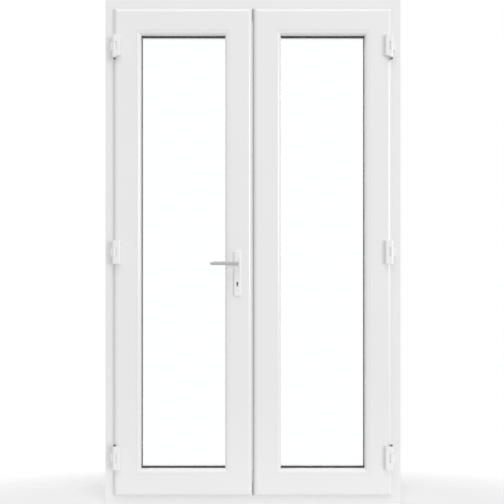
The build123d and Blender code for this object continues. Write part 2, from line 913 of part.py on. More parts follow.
def make_lock():
    """The case, its cover, the faceplate and the dead bolt."""
    depth = (case_front, case_front + case_depth)
    y = centred(case_thickness)
    inside = (y[0] + case_wall, y[1] - case_wall)
    tray = edge_block(-1, depth, (inside[0], y[1]), case_z)
    hollow = edge_block(
        -1,
        (depth[0] + case_wall, depth[1] - case_wall),
        inside,
        (case_z[0] + case_wall, case_z[1] - case_wall),
    )
    cover = edge_block(-1, depth, (y[0], inside[0]), case_z)
    tray -= hollow
    hub = rod_y(spindle_x, spindle_height, hub_radius + hub_clearance, (y[0] - 1, y[1] + 1))
    key = keyhole((y[0] - 1, y[1] + 1), working_gap)
    wall = (depth[0] - 1, depth[0] + case_wall + 1)
    arm_slot = (lower_arm()[1] - rod_travel - working_gap, case_z[1] - 2 * case_wall)
    slots = edge_block(-1, wall, centred(gear_thickness + 2 * working_gap), arm_slot)
    bolt_slot = edge_block(
        -1,
        wall,
        (bolt_y[0] - working_gap, bolt_y[1] + working_gap),
        (bolt_z[0] - working_gap, bolt_z[1] + working_gap),
    )
    parts["lock_case"] = tray - hub - slots - bolt_slot
    parts["lock_cover"] = cover - hub - key

    plate = edge_block(-1, face_depth, centred(faceplate_width), (body_low + 4, body_high - 4))
    window = edge_block(
        -1,
        (-1, groove_depth),
        (bolt_y[0] - running_gap, bolt_y[1] + running_gap),
        (bolt_z[0] - running_gap, bolt_z[1] + running_gap),
    )
    screws = [edge_screw(-1, z) for z in faceplate_screws]
    parts["lock_faceplate"] = cut(plate - window, screws)
    parts["faceplate_screws"] = screws
    parts["active_meeting_stile"] = cut(parts["active_meeting_stile"], screws)
    parts["active_reinforcements"] = [cut(bar, screws) for bar in parts["active_reinforcements"]]

    head = edge_block(-1, (faceplate_recess, faceplate_recess + bolt_head), bolt_y, bolt_z)
    nose = head.edges().filter_by(Axis.Y).group_by(Axis.X)[-1]
    head = fillet(nose, edge_round)
    tail_z = (bolt_z[1] - bolt_tail_height, bolt_z[1])
    tail = edge_block(-1, (faceplate_recess + bolt_head, faceplate_recess + bolt_tail), bolt_y, tail_z)
    notch = block(
        (spindle_x - keyhole_radius, spindle_x + keyhole_radius),
        (bolt_y[0] - 1, bolt_y[1] + 1),
        (tail_z[0] - 1, tail_z[0] + bolt_tail_height / 2),
    )
    parts["dead_bolt"] = head + tail - notch


def lever_body(front):
    """A lever on the room side. Front is the plate's face that its neck comes out of."""
    half = lever_height / 2
    tip_half = lever_tip_height / 2
    shape = outline(
        (lever_heel, -half, edge_round * 2),
        (lever_heel, half, edge_round * 2),
        (-lever_reach, tip_half, tip_half - 0.5),
        (-lever_reach, -tip_half, tip_half - 0.5),
    )
    bar = extrude(Plane.XZ * shape, lever_thickness)
    bar = fillet(bar.edges(), lever_edge)
    bar = Pos(spindle_x, front - lever_stand_off, spindle_height) * bar
    neck = rod_y(
        spindle_x, spindle_height, neck_radius, (front - lever_stand_off - lever_thickness / 2, leaf_front)
    )
    return bar + neck


def handle_plate():
    """The long plate on the room side, with the neck's bore."""
    low = spindle_height + plate_above_spindle - plate_height
    half = plate_width / 2
    shape = outline(
        (spindle_x - half, low, plate_corner),
        (spindle_x + half, low, plate_corner),
        (spindle_x + half, low + plate_height, plate_corner),
        (spindle_x - half, low + plate_height, plate_corner),
    )
    plate = Pos(0, leaf_front, 0) * extrude(Plane.XZ * shape, plate_thickness)
    plate = fillet(plate.faces().sort_by(Axis.Y)[0].edges(), plate_edge)
    y = (leaf_front - plate_thickness - 1, leaf_front + 1)
    return plate - rod_y(spindle_x, spindle_height, neck_radius + neck_clearance, y)


def make_handles():
    """Both plates, both levers, the spindle and the pinion."""
    middle = Plane.XZ.offset(-(leaf_front + leaf_back) / 2)
    lever = lever_body(leaf_front - plate_thickness)
    socket = lever_stand_off / 2
    y = (leaf_front - plate_thickness - socket, leaf_back + plate_thickness + socket)
    half = spindle_side / 2
    spindle = block(
        (spindle_x - half, spindle_x + half), y, (spindle_height - half, spindle_height + half)
    )
    screws = []
    low = spindle_height + plate_above_spindle - plate_height
    for z in (low + plate_screw_from_end, low + plate_height - plate_screw_from_end):
        y = (leaf_front - plate_screw_grip, leaf_back + plate_thickness)
        shank = rod_y(spindle_x, z, plate_screw_radius, y)
        head = extrude(Circle(plate_screw_head), screw_countersink, taper=42)
        screws.append(shank + Pos(spindle_x, y[1], z) * Rot(90, 0, 0) * head)
    parts["plate_screws"] = screws
    parts["active_meeting_stile"] = cut(parts["active_meeting_stile"], screws)
    parts["active_reinforcements"] = [cut(bar, screws) for bar in parts["active_reinforcements"]]
    parts["inside_lever"] = lever - spindle
    parts["outside_lever"] = mirror(lever, middle) - spindle
    plate = handle_plate()
    key = keyhole((leaf_front - plate_thickness - 1, leaf_front + 1))
    parts["inside_plate"] = cut(plate - key, screws)
    parts["outside_plate"] = cut(mirror(plate, middle), screws)
    parts["spindle"] = spindle
    gear = Pos(spindle_x, gear_y[1], spindle_height) * extrude(Plane.XZ * pinion_outline(), gear_thickness)
    gear += rod_y(spindle_x, spindle_height, hub_radius, centred(case_thickness))
    parts["drive_pinion"] = gear - spindle


# Flush bolts, strike and keeps


def make_strike():
    """The plate in the right leaf's edge that the dead bolt enters."""
    middle = (bolt_z[0] + bolt_z[1]) / 2
    plate = edge_block(
        1, face_depth, centred(faceplate_width), (middle - strike_height / 2, middle + strike_height / 2)
    )
    window = edge_block(
        1,
        (-1, groove_depth + 1),
        (bolt_y[0] - working_gap, bolt_y[1] + working_gap),
        (bolt_z[0] - working_gap, bolt_z[1] + working_gap),
    )
    reach = strike_height / 2 - 2 * screw_head
    screws = [edge_screw(1, middle + k * reach) for k in (-1, 1)]
    parts["strike_plate"] = cut(plate - window, screws)
    return screws


def flush_bolt():
    """The upper flush bolt with its thumb slide, and the plate that it slides behind."""
    top = body_high - end_setback
    low = top - flush_bolt_length
    bar = edge_block(1, rod_depth, centred(rod_width), (low, top))
    thumb_z = (low + thumb_height, low + 2 * thumb_height)
    thumb = edge_block(1, (-thumb_reach, rod_depth[0]), centred(rod_width / 2), thumb_z)
    grip = thumb.edges().filter_by(Axis.Y).group_by(Axis.X)[0]
    thumb = fillet(grip, edge_round)
    plate = edge_block(1, face_depth, centred(faceplate_width), (low - thumb_height, top - 4))
    slot = edge_block(
        1,
        (-1, groove_depth + 1),
        centred(rod_width / 2 + 2 * working_gap),
        (thumb_z[0] - working_gap, thumb_z[1] + flush_bolt_throw + working_gap),
    )
    heights = (low - thumb_height / 2, top - thumb_height)
    screws = [edge_screw(1, z) for z in heights]
    bar = slotted(bar, 1, heights[1:], flush_bolt_throw, 0)
    return bar + thumb, cut(plate - slot, screws), screws


def make_flush_bolts(screws):
    """Both flush bolts, their plates, and the screws in the right leaf's edge."""
    bolt, plate, ends = flush_bolt()
    middle = Plane.XY.offset(frame_height / 2)
    parts["top_flush_bolt"] = bolt
    parts["bottom_flush_bolt"] = mirror(bolt, middle)
    parts["flush_bolt_plates"] = [plate, mirror(plate, middle)]
    screws = screws + ends + [mirror(screw, middle) for screw in ends]
    parts["edge_screws"] = screws
    parts["passive_meeting_stile"] = cut(parts["passive_meeting_stile"], screws)
    parts["passive_reinforcements"] = [cut(bar, screws) for bar in parts["passive_reinforcements"]]


def make_keeps():
    """The plates on the frame that the rods and flush bolts go through."""
    x = (-keep_length / 2, keep_length / 2)
    head = frame_height - frame_face
    top = block(x, centred(keep_width), (head - keep_thickness, head)) - rod_slots(True)
    bottom = block(x, centred(keep_width), (frame_face, frame_face + keep_thickness)) - rod_slots(False)
    screws = []
    for z, turn in ((head - keep_thickness, 180), (frame_face + keep_thickness, 0)):
        for side in (-1, 1):
            screw = rod_z(0, 0, screw_radius, (-screw_length, 0))
            screw += Rot(180, 0, 0) * extrude(Circle(screw_head), screw_countersink, taper=42)
            screws.append(Pos(side * keep_screw_x, groove_centre, z) * Rot(turn, 0, 0) * screw)
    parts["rod_keeps"] = [cut(top, screws), cut(bottom, screws)]
    parts["keep_screws"] = screws
    for member in ("frame_head", "frame_sill"):
        parts[member] = cut(parts[member], screws)
    parts["frame_reinforcements"] = [cut(bar, screws) for bar in parts["frame_reinforcements"]]


make_frame()
make_leaf("active", left_rect, "right")
make_leaf("passive", right_rect, "left")
make_meeting_seal()
make_hinges()
make_rods()
make_lock()
make_handles()
make_flush_bolts(make_strike())
make_keeps()

os.makedirs("parts", exist_ok=True)
for name, shape in parts.items():
    pieces = shape if isinstance(shape, list) else [shape]
    solids = [solid for piece in pieces for solid in piece.solids()]
    export_step(solids[0] if len(solids) == 1 else Compound(solids), f"parts/{name}.step")
print(len(parts), "nodes")
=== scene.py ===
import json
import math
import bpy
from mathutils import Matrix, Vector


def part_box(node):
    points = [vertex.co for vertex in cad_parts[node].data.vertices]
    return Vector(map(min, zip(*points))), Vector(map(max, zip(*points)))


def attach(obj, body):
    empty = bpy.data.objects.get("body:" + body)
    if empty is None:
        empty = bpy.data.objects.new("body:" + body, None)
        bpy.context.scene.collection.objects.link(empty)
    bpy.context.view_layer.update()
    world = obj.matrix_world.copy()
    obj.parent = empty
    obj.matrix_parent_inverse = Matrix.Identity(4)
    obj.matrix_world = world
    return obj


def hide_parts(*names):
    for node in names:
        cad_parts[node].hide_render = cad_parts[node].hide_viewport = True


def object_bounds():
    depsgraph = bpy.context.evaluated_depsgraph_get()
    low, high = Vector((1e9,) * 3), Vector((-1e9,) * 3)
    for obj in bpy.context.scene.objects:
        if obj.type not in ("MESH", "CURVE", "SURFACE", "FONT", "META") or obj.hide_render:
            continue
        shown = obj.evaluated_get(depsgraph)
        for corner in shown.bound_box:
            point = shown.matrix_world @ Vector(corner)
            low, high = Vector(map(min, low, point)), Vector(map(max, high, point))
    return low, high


bl_info = {
    "name": "French doors",
    "version": (1, 0, 0),
    "blender": (4, 5, 0),
    "location": "3D View > Sidebar > Doors",
    "description": "Finishes, small fittings and a plain studio for a pair of glazed french doors",
    "category": "Object",
}

import bpy
from bpy.props import FloatProperty, FloatVectorProperty, IntProperty, PointerProperty
from mathutils import Vector

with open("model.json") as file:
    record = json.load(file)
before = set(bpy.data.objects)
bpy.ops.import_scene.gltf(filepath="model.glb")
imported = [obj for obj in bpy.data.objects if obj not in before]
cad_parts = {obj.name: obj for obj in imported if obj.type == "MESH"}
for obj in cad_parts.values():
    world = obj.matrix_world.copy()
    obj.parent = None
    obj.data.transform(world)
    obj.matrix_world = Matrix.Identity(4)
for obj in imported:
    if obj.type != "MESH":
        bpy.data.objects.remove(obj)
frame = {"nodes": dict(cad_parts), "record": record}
cad_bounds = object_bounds()
cad_low, cad_high = cad_bounds

MM = 0.001

# The axes: to the right, out of the room and up
RIGHT, OUT, UP = range(3)

# The sockets that a Mix node has for colours
MIX_FACTOR = 0
MIX_FIRST = 6
MIX_SECOND = 7
MIX_RESULT = 2

GLASS_COLOUR = (0.995, 1.0, 0.998, 1.0)
GLASS_SHADOW = (0.98, 0.985, 0.983, 1.0)

# How far a noise is drawn out along an extrusion, a lever and a brushed plate
ALONG_UPRIGHT = (1.0, 1.0, 0.01)
ALONG_LEVEL = (0.01, 1.0, 1.0)
ALONG_LEVER = (0.05, 1.0, 1.0)
ALONG_BRUSHED = (1.0, 1.0, 0.02)

# Decimals of a metre to which two corners have to agree to be one
CORNER_DIGITS = 6

# Between a screw's axis and the side of its countersunk head
SCREW_SLOPE = math.radians(42)

# The length of the cross recess, as a share of the head's radius
CROSS_LENGTH = 1.3

# Where the floor starts to fade, as a share of the squared way out to the patch's rim
FADE_START = 0.35

NEAREST_SEEN = 0.05
FARTHEST_SEEN = 100.0


# Sizes and colours


class DoorFinishes(bpy.types.PropertyGroup):
    """Colours and surfaces of the doors"""

    white: FloatVectorProperty(
        name="White",
        description="Colour of the extrusions",
        subtype="COLOR",
        default=(0.843, 0.843, 0.843),
    )
    coat_white: FloatVectorProperty(
        name="Coated white",
        description="Colour of the coated hinges and handle plates",
        subtype="COLOR",
        default=(0.862, 0.862, 0.862),
    )
    white_roughness: FloatProperty(
        name="White roughness",
        description="How dull the extrusions are",
        subtype="FACTOR",
        default=0.24,
    )
    gloss: FloatProperty(
        name="Gloss",
        description="How much the white surfaces mirror, from none to twice that of plain plastic",
        subtype="FACTOR",
        default=0.9,
    )
    lever: FloatVectorProperty(
        name="Lever",
        description="Colour of the anodised levers",
        subtype="COLOR",
        default=(0.43, 0.43, 0.435),
    )
    black: FloatVectorProperty(
        name="Black",
        description="Colour of the outer seals and spacers",
        subtype="COLOR",
        default=(0.018, 0.018, 0.019),
    )
    cap_grey: FloatVectorProperty(
        name="Cap grey",
        description="Colour of the plastic caps on the hinge pins",
        subtype="COLOR",
        default=(0.09, 0.09, 0.09),
    )
    pale_rubber: FloatVectorProperty(
        name="Pale rubber",
        description="Colour of the seals on the room side",
        subtype="COLOR",
        default=(0.44, 0.44, 0.44),
    )
    zinc: FloatVectorProperty(
        name="Zinc",
        description="Colour of the plated and galvanised steel",
        subtype="COLOR",
        default=(0.58, 0.6, 0.62),
    )
    stainless: FloatVectorProperty(
        name="Stainless steel",
        description="Colour of the faceplates, pins and screws",
        subtype="COLOR",
        default=(0.6, 0.6, 0.605),
    )
    weld_width: FloatProperty(
        name="Weld width",
        description="Half the width of the line where two mitred lengths meet",
        unit="LENGTH",
        default=0.6 * MM,
    )


class DoorFittings(bpy.types.PropertyGroup):
    """Sizes of the small fittings"""

    screw_sink: FloatProperty(
        name="Countersink",
        description="Depth of a screw's countersunk head",
        unit="LENGTH",
        default=2.0 * MM,
    )
    screw_recess: FloatProperty(
        name="Recess",
        description="Width of the cross recess in a screw's head",
        unit="LENGTH",
        default=0.9 * MM,
    )
    screw_sides: IntProperty(
        name="Screw sides",
        description="Sides of a screw's round head",
        default=32,
    )


class DoorStage(bpy.types.PropertyGroup):
    """Camera, floor and lights"""

    camera_distance: FloatProperty(
        name="Camera distance",
        description="From the camera to the frame's face",
        unit="LENGTH",
        default=2.95,
    )
    picture_pixels: IntProperty(
        name="Picture size",
        description="Width and height of the square picture in pixels",
        default=504,
    )
    picture_offset: FloatProperty(
        name="Picture offset",
        description="How far right of the picture's middle the doors' middle is, in pixels",
        default=1.0,
    )
    floor_size: FloatProperty(
        name="Floor size",
        description="Side of the square floor",
        unit="LENGTH",
        default=24.0,
    )
    floor_shade: FloatProperty(
        name="Floor shade",
        description="How pale the floor is",
        subtype="FACTOR",
        default=0.95,
    )
    floor_width: FloatProperty(
        name="Patch width",
        description="Half the width of the patch of floor that shows, beyond which it is clear",
        unit="LENGTH",
        default=1.6,
    )
    floor_depth: FloatProperty(
        name="Patch depth",
        description="Half the depth of the patch of floor that shows, beyond which it is clear",
        unit="LENGTH",
        default=0.46,
    )
    sky: FloatProperty(
        name="Sky",
        description="Strength of the even light from all round",
        default=0.64,
    )
    side_power: FloatProperty(
        name="Side power",
        description="Power of the soft lamp on the right",
        unit="POWER",
        default=880.0,
    )
    side_size: FloatProperty(
        name="Side size",
        description="Side of the soft lamp on the right",
        unit="LENGTH",
        default=6.4,
    )
    side_place: FloatVectorProperty(
        name="Side place",
        description="Where the soft lamp on the right stands",
        subtype="TRANSLATION",
        unit="LENGTH",
        default=(11.7, -13.8, 3.2),
    )
    back_power: FloatProperty(
        name="Back power",
        description="Power of the soft lamp behind",
        unit="POWER",
        default=620.0,
    )
    back_size: FloatProperty(
        name="Back size",
        description="Side of the soft lamp behind",
        unit="LENGTH",
        default=10.0,
    )
    back_place: FloatVectorProperty(
        name="Back place",
        description="Where the soft lamp behind stands",
        subtype="TRANSLATION",
        unit="LENGTH",
        default=(-10.0, 14.0, 7.0),
    )
    top_power: FloatProperty(
        name="Top power",
        description="Power of the soft lamp above",
        unit="POWER",
        default=1300.0,
    )
    top_size: FloatProperty(
        name="Top size",
        description="Side of the soft lamp above",
        unit="LENGTH",
        default=13.0,
    )
    top_place: FloatVectorProperty(
        name="Top place",
        description="Where the soft lamp above hangs",
        subtype="TRANSLATION",
        unit="LENGTH",
        default=(0.0, -12.8, 21.8),
    )


# Shaders


class Value:
    """A shader socket that Python's operators turn into Math nodes."""

    def __init__(self, finish, socket):
        self.finish = finish
        self.socket = socket

    def math(self, operation, *others):
        return self.finish.node("ShaderNodeMath", {"operation": operation}, (self, *others))

    def __add__(self, other):
        return self.math("ADD", other)

    __radd__ = __add__

    def __sub__(self, other):
        return self.math("SUBTRACT", other)

    def __rsub__(self, other):
        return self.finish.node("ShaderNodeMath", {"operation": "SUBTRACT"}, (other, self))

    def __mul__(self, other):
        return self.math("MULTIPLY", other)

    __rmul__ = __mul__

    def __truediv__(self, other):
        return self.math("DIVIDE", other)

    def __abs__(self):
        return self.math("ABSOLUTE")

    def least(self, other):
        return self.math("MINIMUM", other)

    def clamped(self):
        return self.finish.node("ShaderNodeClamp", {}, (self,))


class Finish:
    """A material whose nodes are added one after another."""

    def __init__(self, name, tree=None):
        if tree is None:
            self.material = bpy.data.materials.new(name)
            self.material.use_nodes = True
            tree = self.material.node_tree
        self.tree = tree
        self.tree.nodes.clear()
        self.here = None

    def node(self, kind, settings=None, values=(), output=0):
        """A node of one kind: its settings first, and then the values or links of its sockets."""
        made = self.tree.nodes.new(kind)
        for name, setting in (settings or {}).items():
            setattr(made, name, setting)
        pairs = values.items() if isinstance(values, dict) else enumerate(values)
        for key, value in pairs:
            if isinstance(value, Value):
                self.tree.links.new(value.socket, made.inputs[key])
            else:
                made.inputs[key].default_value = value
        return Value(self, made.outputs[output]) if made.outputs else None

    def place(self):
        """The point being shaded, in the doors' own frame."""
        if self.here is None:
            self.here = self.node("ShaderNodeTexCoord", output="Object")
        return self.here

    def along(self):
        """The three parts of that point."""
        apart = self.node("ShaderNodeSeparateXYZ", {}, (self.place(),))
        return [Value(self, apart.socket.node.outputs[k]) for k in range(3)]

    def noise(self, scale, detail=2.0, stretch=(1.0, 1.0, 1.0)):
        """Noise with so many cells in a metre along each axis."""
        spread = self.node(
            "ShaderNodeMapping", {"vector_type": "POINT"}, {"Vector": self.place(), "Scale": stretch}
        )
        return self.node(
            "ShaderNodeTexNoise", {}, {"Vector": spread, "Scale": scale, "Detail": detail}
        )

    def cells(self, scale):
        """Voronoi cells, each with a value of its own."""
        tone = self.node(
            "ShaderNodeTexVoronoi", {}, {"Vector": self.place(), "Scale": scale}, output="Color"
        )
        return self.node("ShaderNodeSeparateColor", {}, (tone,))

    def tones(self, factor, colour, darkest, palest):
        """A colour that varies between two shades of itself."""
        return self.node(
            "ShaderNodeMix",
            {"data_type": "RGBA"},
            {
                MIX_FACTOR: factor,
                MIX_FIRST: shade(colour, darkest),
                MIX_SECOND: shade(colour, palest),
            },
            output=MIX_RESULT,
        )

    def bump(self, height, depth, strength):
        """A surface normal from a height."""
        return self.node(
            "ShaderNodeBump",
            {},
            {"Height": height, "Distance": depth, "Strength": strength},
            output="Normal",
        )

    def surface(self, **sockets):
        """The main shader, with sockets named in words joined by underscores."""
        values = {name.replace("_", " "): value for name, value in sockets.items()}
        return self.node("ShaderNodeBsdfPrincipled", {}, values)

    def done(self, shader):
        """Ends the material with its shader."""
        self.node("ShaderNodeOutputMaterial", {}, {"Surface": shader})
        return self.material


def shade(colour, amount):
    """A colour made lighter or darker, with the fourth part that a socket takes."""
    return (*(part * amount for part in colour), 1.0)


def varied(factor, least, by):
    """A number that rises by so much as the factor goes from 0 to 1."""
    return least + factor * by


def weld_lines(finish, owner, half_width):
    """Where two mitred lengths meet: 1 on the line and 0 off it."""
    if owner == "frame":
        low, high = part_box("frame_left_jamb")
        near, far = 0.0, abs(low.x)
    else:
        low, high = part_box("passive_hinge_stile")
        near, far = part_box("passive_meeting_stile")[0].x, high.x
    x, _, z = finish.along()
    across = far - abs(x)
    if near:
        across = across.least(abs(x) - near)
    up = (z - low.z).least(high.z - z)
    return (1.0 - abs(across - up) / half_width).clamped()


def extrusion_finish(name, owner, stretch, finishes):
    """Smooth white extrusion with faint lines along its length and a weld in each corner, whose line
    is darkened in colour: partly the joint's own line and partly painted shade of its groove.
    """
    weld_painted_shade = 0.7
    weld_depth = 4.0
    grain_height = 0.25
    streak_height = 0.3
    roughness_spread = 0.08
    finish = Finish(name)
    streaks = finish.noise(scale=260.0, detail=3.0, stretch=stretch)
    cloud = finish.noise(scale=3.0)
    weld = weld_lines(finish, owner, finishes.weld_width)
    # The weld line is made darker in colour: partly the joint's own line and partly painted shade of
    # the groove that the bump also cuts there.
    tone = (cloud * 0.5 + streaks * 0.5 - weld * weld_painted_shade).clamped()
    colour = finish.tones(tone, finishes.white, darkest=0.965, palest=1.02)
    smoothest = finishes.white_roughness - roughness_spread / 2
    rough = varied(streaks, least=smoothest, by=roughness_spread)
    grain = finish.noise(scale=1400.0)
    height = grain * grain_height + streaks * streak_height - weld * weld_depth
    relief = finish.bump(height, depth=0.06 * MM, strength=0.5)
    return finish.done(
        finish.surface(
            Base_Color=colour, Roughness=rough, Normal=relief, Specular_IOR_Level=finishes.gloss
        )
    )


def coated_finish(finishes):
    """White powder coat, with the fine orange peel that it dries to."""
    finish = Finish("white powder coat")
    peel = finish.noise(scale=900.0, detail=1.0)
    tone = finish.noise(scale=12.0)
    colour = finish.tones(tone, finishes.coat_white, darkest=0.98, palest=1.01)
    rough = varied(tone, least=0.24, by=0.05)
    relief = finish.bump(peel, depth=0.05 * MM, strength=0.6)
    return finish.done(
        finish.surface(
            Base_Color=colour, Roughness=rough, Normal=relief, Specular_IOR_Level=finishes.gloss
        )
    )


def glass_finish():
    """Clear glass that lets the lamps' light through."""
    finish = Finish("clear glass")
    clear = finish.surface(
        Base_Color=GLASS_COLOUR, Roughness=0.0, IOR=1.5, Transmission_Weight=1.0
    )
    through = finish.node("ShaderNodeBsdfTransparent", {}, {"Color": GLASS_SHADOW})
    shadow = finish.node("ShaderNodeLightPath", output="Is Shadow Ray")
    return finish.done(finish.node("ShaderNodeMixShader", {}, (shadow, clear, through)))


def rubber_finish(name, colour, roughness):
    """Matt rubber, a little dusty."""
    finish = Finish(name)
    dust = finish.noise(scale=40.0, detail=4.0)
    grain = finish.noise(scale=2200.0)
    tone = finish.tones(dust, colour, darkest=0.85, palest=1.15)
    rough = varied(dust, least=roughness, by=0.1)
    relief = finish.bump(grain, depth=0.03 * MM, strength=0.5)
    return finish.done(finish.surface(Base_Color=tone, Roughness=rough, Normal=relief))


def plastic_finish(name, colour):
    """Moulded plastic with a fine spark texture."""
    finish = Finish(name)
    spark = finish.noise(scale=1600.0, detail=3.0)
    tone = finish.tones(spark, colour, darkest=0.9, palest=1.3)
    rough = varied(spark, least=0.45, by=0.1)
    relief = finish.bump(spark, depth=0.04 * MM, strength=0.5)
    return finish.done(finish.surface(Base_Color=tone, Roughness=rough, Normal=relief))


def metal(finish, tone, rough, relief):
    """Ends a metal's material."""
    return finish.done(
        finish.surface(Base_Color=tone, Metallic=1.0, Roughness=rough, Normal=relief)
    )


def satin_finish(finishes):
    """Anodised aluminium, satin along the lever's length."""
    finish = Finish("satin aluminium")
    lines = finish.noise(scale=700.0, detail=3.0, stretch=ALONG_LEVER)
    tone = finish.tones(lines, finishes.lever, darkest=0.95, palest=1.05)
    rough = varied(lines, least=0.34, by=0.1)
    relief = finish.bump(lines, depth=0.02 * MM, strength=0.5)
    return metal(finish, tone, rough, relief)


def brushed_finish(finishes):
    """Stainless steel, brushed up and down."""
    finish = Finish("brushed stainless steel")
    lines = finish.noise(scale=900.0, detail=3.0, stretch=ALONG_BRUSHED)
    tone = finish.tones(lines, finishes.stainless, darkest=0.9, palest=1.08)
    rough = varied(lines, least=0.25, by=0.15)
    relief = finish.bump(lines, depth=0.02 * MM, strength=0.6)
    return metal(finish, tone, rough, relief)


def plated_finish(finishes):
    """Zinc plate on pressed and machined steel."""
    finish = Finish("zinc plate")
    stain = finish.noise(scale=60.0, detail=4.0)
    tone = finish.tones(stain, finishes.zinc, darkest=0.88, palest=1.06)
    rough = varied(stain, least=0.3, by=0.15)
    relief = finish.bump(finish.noise(scale=1500.0), depth=0.02 * MM, strength=0.5)
    return metal(finish, tone, rough, relief)


def galvanised_finish(finishes):
    """Hot-dip zinc, with the spangle of its crystals."""
    finish = Finish("galvanised steel")
    crystal = finish.cells(scale=90.0)
    tone = finish.tones(crystal, finishes.zinc, darkest=0.8, palest=1.1)
    rough = varied(crystal, least=0.35, by=0.2)
    relief = finish.bump(crystal, depth=0.02 * MM, strength=0.4)
    return metal(finish, tone, rough, relief)


def background_strength(finish, sky):
    """White to a ray that sees it, in glass and metal too, and the sky's strength as light."""
    rays = finish.node("ShaderNodeLightPath").socket.node.outputs
    kinds = ("Is Camera Ray", "Is Glossy Ray", "Is Transmission Ray")
    first, second, third = [Value(finish, rays[kind]) for kind in kinds]
    seen = (first + second + third).clamped()
    return sky + seen * (1.0 - sky)


# Pieces


def nodes_in(slot):
    """The CAD nodes that have one material slot of the record."""
    rows = frame["record"]["subparts"]
    return [row["node"] for row in rows if row["material_slot"] == slot]


def length_kind(node):
    """Whether a white extrusion belongs to the frame or a leaf, and which way it runs."""
    owner = "frame" if node.startswith(("frame", "drain")) else "leaf"
    way = "upright" if node.endswith(("jamb", "stile", "beads")) else "level"
    return owner, way


def dress(nodes, material):
    """Gives CAD nodes a material."""
    for name in nodes:
        for place in frame["nodes"][name].material_slots:
            place.material = material


def plain_mesh(piece):
    """A piece's evaluated mesh in place of its modifiers."""
    scene_now = bpy.context.evaluated_depsgraph_get()
    made = bpy.data.meshes.new_from_object(piece.evaluated_get(scene_now))
    piece.modifiers.clear()
    piece.data = made
    return piece


def put_in_scene(name, data):
    """A new object in the scene."""
    made = bpy.data.objects.new(name, data)
    bpy.context.scene.collection.objects.link(made)
    return made


def new_piece(name, points, faces=()):
    """An object from its corners, with no faces where a node tree builds on its points."""
    mesh = bpy.data.meshes.new(name)
    mesh.from_pydata(points, [], faces)
    return put_in_scene(name, mesh)


class Shaping:
    """A geometry node tree with named inputs."""

    def __init__(self, name, inputs):
        self.tree = bpy.data.node_groups.new(name, "GeometryNodeTree")
        face = self.tree.interface
        face.new_socket("Geometry", in_out="INPUT", socket_type="NodeSocketGeometry")
        for label, kind in inputs.items():
            face.new_socket(label, in_out="INPUT", socket_type=kind)
        face.new_socket("Geometry", in_out="OUTPUT", socket_type="NodeSocketGeometry")
        self.start = self.tree.nodes.new("NodeGroupInput")

    def given(self, label):
        """The tree's own input of that name."""
        return self.start.outputs[label]

    def node(self, kind, settings=None, values=None, output=0):
        """A node's output: its settings come first, and a list links each of its sockets."""
        made = self.tree.nodes.new(kind)
        for name, setting in (settings or {}).items():
            setattr(made, name, setting)
        for key, value in (values or {}).items():
            for one in value if isinstance(value, list) else [value]:
                if isinstance(one, bpy.types.NodeSocket):
                    self.tree.links.new(one, made.inputs[key])
                else:
                    made.inputs[key].default_value = one
        return made.outputs[output]

    def math(self, operation, first, second):
        return self.node("ShaderNodeMath", {"operation": operation}, {0: first, 1: second})

    def upright(self, height):
        """A vector that points up by a height."""
        return self.node("ShaderNodeCombineXYZ", {}, {"Z": height})

    def finish_with(self, geometry):
        """Ends the tree with real, painted geometry."""
        real = self.node("GeometryNodeRealizeInstances", {}, {0: geometry})
        painted = self.node(
            "GeometryNodeSetMaterial", {}, {"Geometry": real, "Material": self.given("Material")}
        )
        end = self.tree.nodes.new("NodeGroupOutput")
        self.tree.links.new(painted, end.inputs[0])
        return self

    def apply(self, piece, values):
        """Runs the tree on a piece and keeps the plain mesh that comes out."""
        modifier = piece.modifiers.new(self.tree.name, "NODES")
        modifier.node_group = self.tree
        for socket in self.tree.interface.items_tree:
            if socket.name in values:
                modifier[socket.identifier] = values[socket.name]
        return plain_mesh(piece)


